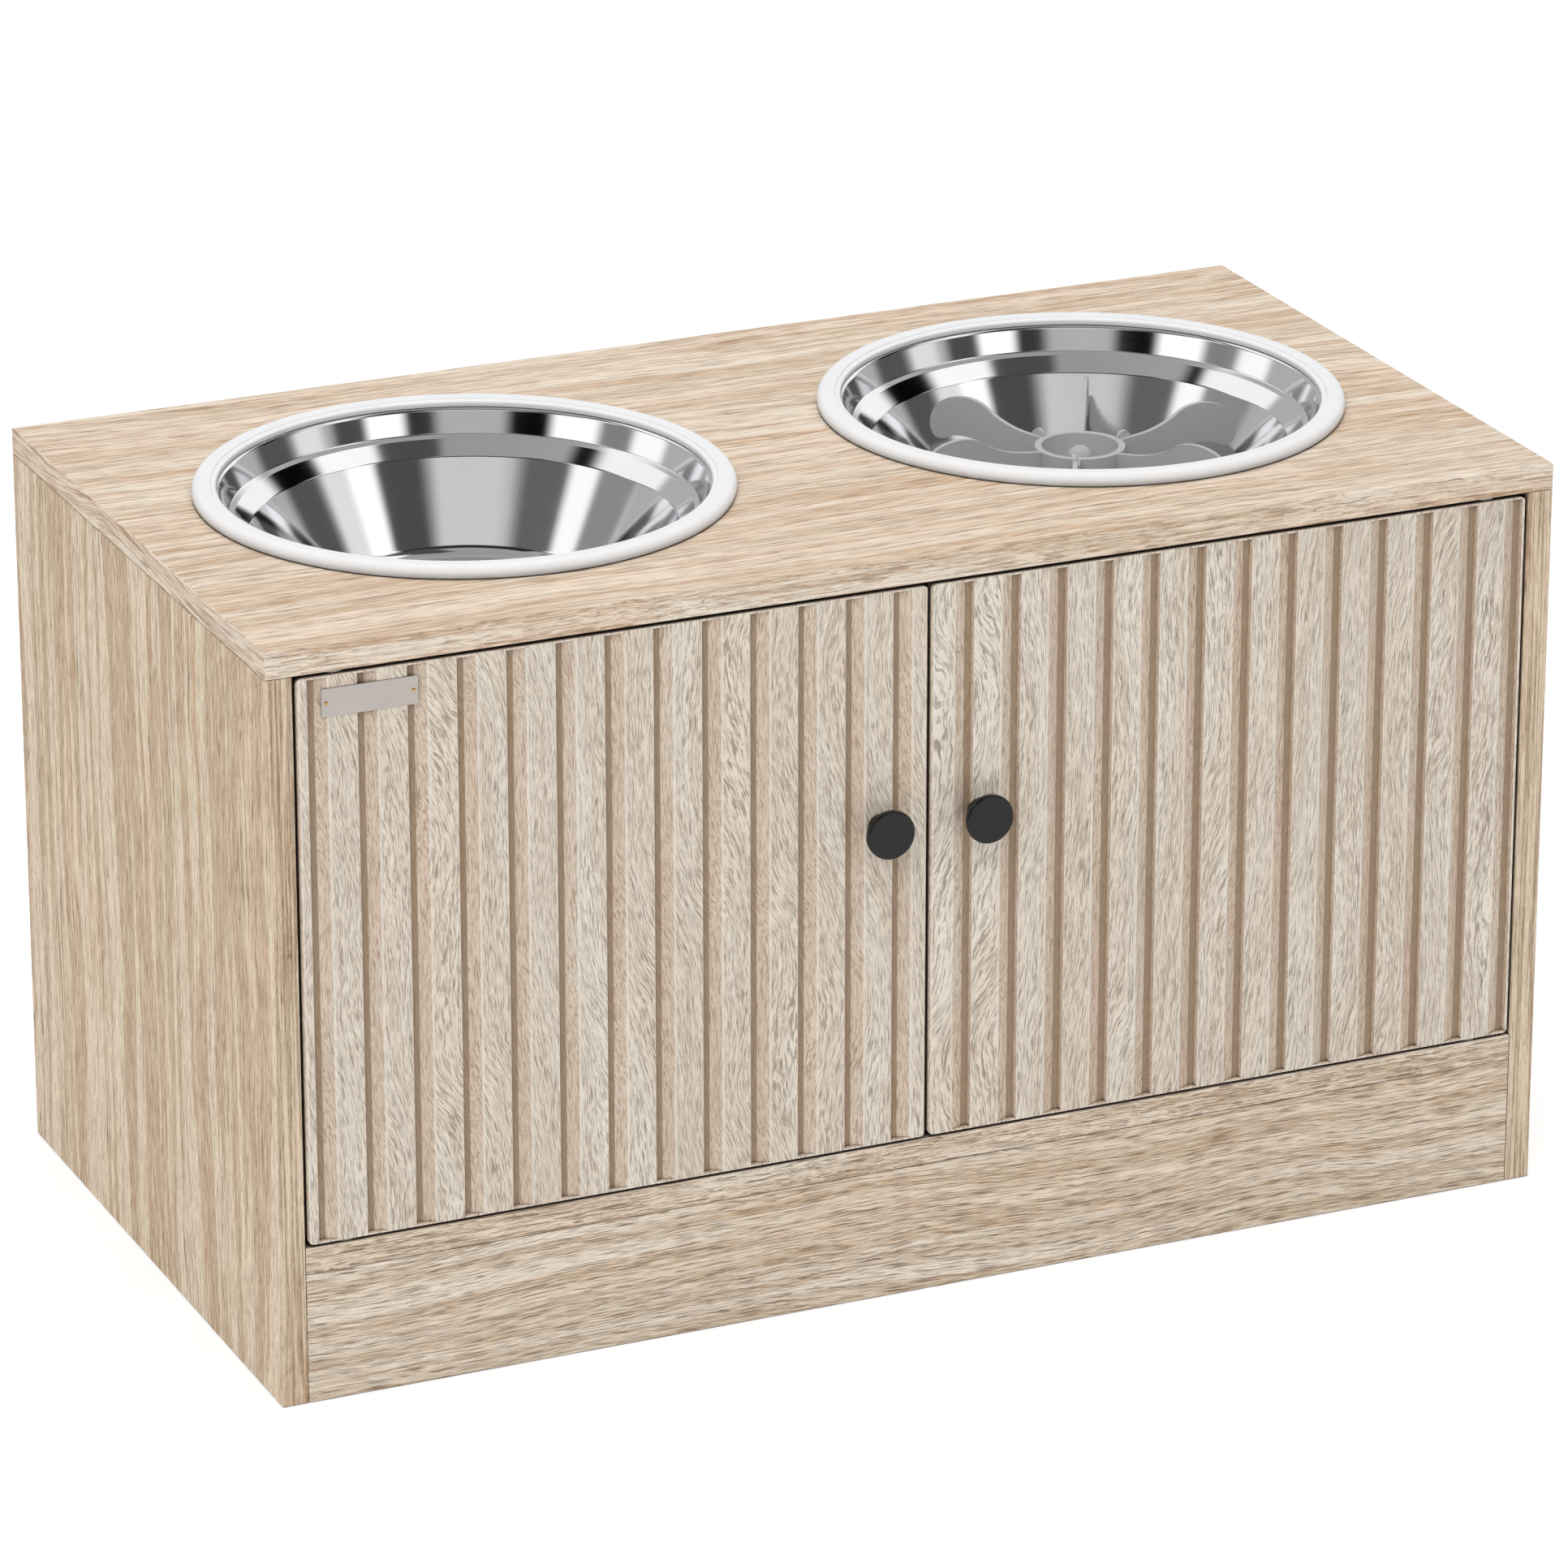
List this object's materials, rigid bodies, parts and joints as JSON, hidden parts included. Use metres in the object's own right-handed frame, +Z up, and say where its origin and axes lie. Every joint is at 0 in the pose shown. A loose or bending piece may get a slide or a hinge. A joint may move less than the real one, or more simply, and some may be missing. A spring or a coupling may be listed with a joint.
{
  "type": "elevated dog feeder with storage",
  "caption": "Low oak-finish cabinet with fluted doors over a storage space, steel bowls set in its top and a slow-feed insert in one of them.",
  "frame": {"origin": "floor level, under the middle of the object's box, knobs included", "axes": "+X to the right along the front, +Y to the back, +Z up"},
  "size_m": [0.6, 0.333, 0.346],
  "materials": {
    "oak_board": "pale oak melamine, matte",
    "door_board": "pale grey oak foil, matte",
    "back_board": "pale oak foil on thin hardboard",
    "beech_dowel": "plain beech",
    "zinc_hardware": "zinc plated",
    "white_nylon": "moulded",
    "magnet": "ferrite",
    "black_knob": "gloss black",
    "polished_steel": "mirror polished stainless",
    "white_silicone": "soft matte",
    "grey_plastic": "satin moulded",
    "grey_rubber": "satin moulded"
  },
  "bodies": {
    "cabinet": {"top_board": "oak_board", "left_side_panel": "oak_board", "right_side_panel": "oak_board", "bottom_shelf": "oak_board", "plinth_board": "oak_board", "back_panel": "back_board", "cam_nuts": "zinc_hardware", "cam_bolts": "zinc_hardware", "wood_dowels": "beech_dowel", "pivot_bushings": "white_nylon", "catch_housing": "white_nylon", "catch_magnets": "magnet", "catch_screws": "zinc_hardware"},
    "left_door": {"left_door": "door_board", "left_door_pins": "zinc_hardware", "left_knob": "black_knob", "left_knob_screw": "zinc_hardware", "left_strike_plate": "zinc_hardware", "left_strike_screw": "zinc_hardware"},
    "right_door": {"right_door": "door_board", "right_door_pins": "zinc_hardware", "right_knob": "black_knob", "right_knob_screw": "zinc_hardware", "right_strike_plate": "zinc_hardware", "right_strike_screw": "zinc_hardware"},
    "plain_bowl": {"plain_bowl": "polished_steel", "plain_bowl_ring": "white_silicone"},
    "feeder_bowl": {"feeder_bowl": "polished_steel", "feeder_bowl_ring": "white_silicone"},
    "insert": {"slow_feeder_insert": "grey_plastic", "suction_cup": "grey_rubber"}
  },
  "joints": [
    {"name": "left_door_hinge", "type": "hinge", "parent": "cabinet", "child": "left_door", "pos_m": [-0.2685, -0.146, 0.2], "axis": [0, 0, -1], "range_deg": [0, 110]},
    {"name": "right_door_hinge", "type": "hinge", "parent": "cabinet", "child": "right_door", "pos_m": [0.2685, -0.146, 0.2], "axis": [0, 0, 1], "range_deg": [0, 110]},
    {"name": "plain_bowl_lift", "type": "slide", "parent": "cabinet", "child": "plain_bowl", "axis": [0, 0, 1], "range_m": [0, 0.1]},
    {"name": "feeder_bowl_lift", "type": "slide", "parent": "cabinet", "child": "feeder_bowl", "axis": [0, 0, 1], "range_m": [0, 0.1]},
    {"name": "insert_lift", "type": "slide", "parent": "feeder_bowl", "child": "insert", "axis": [0, 0, 1], "range_m": [0, 0.08]}
  ]
}
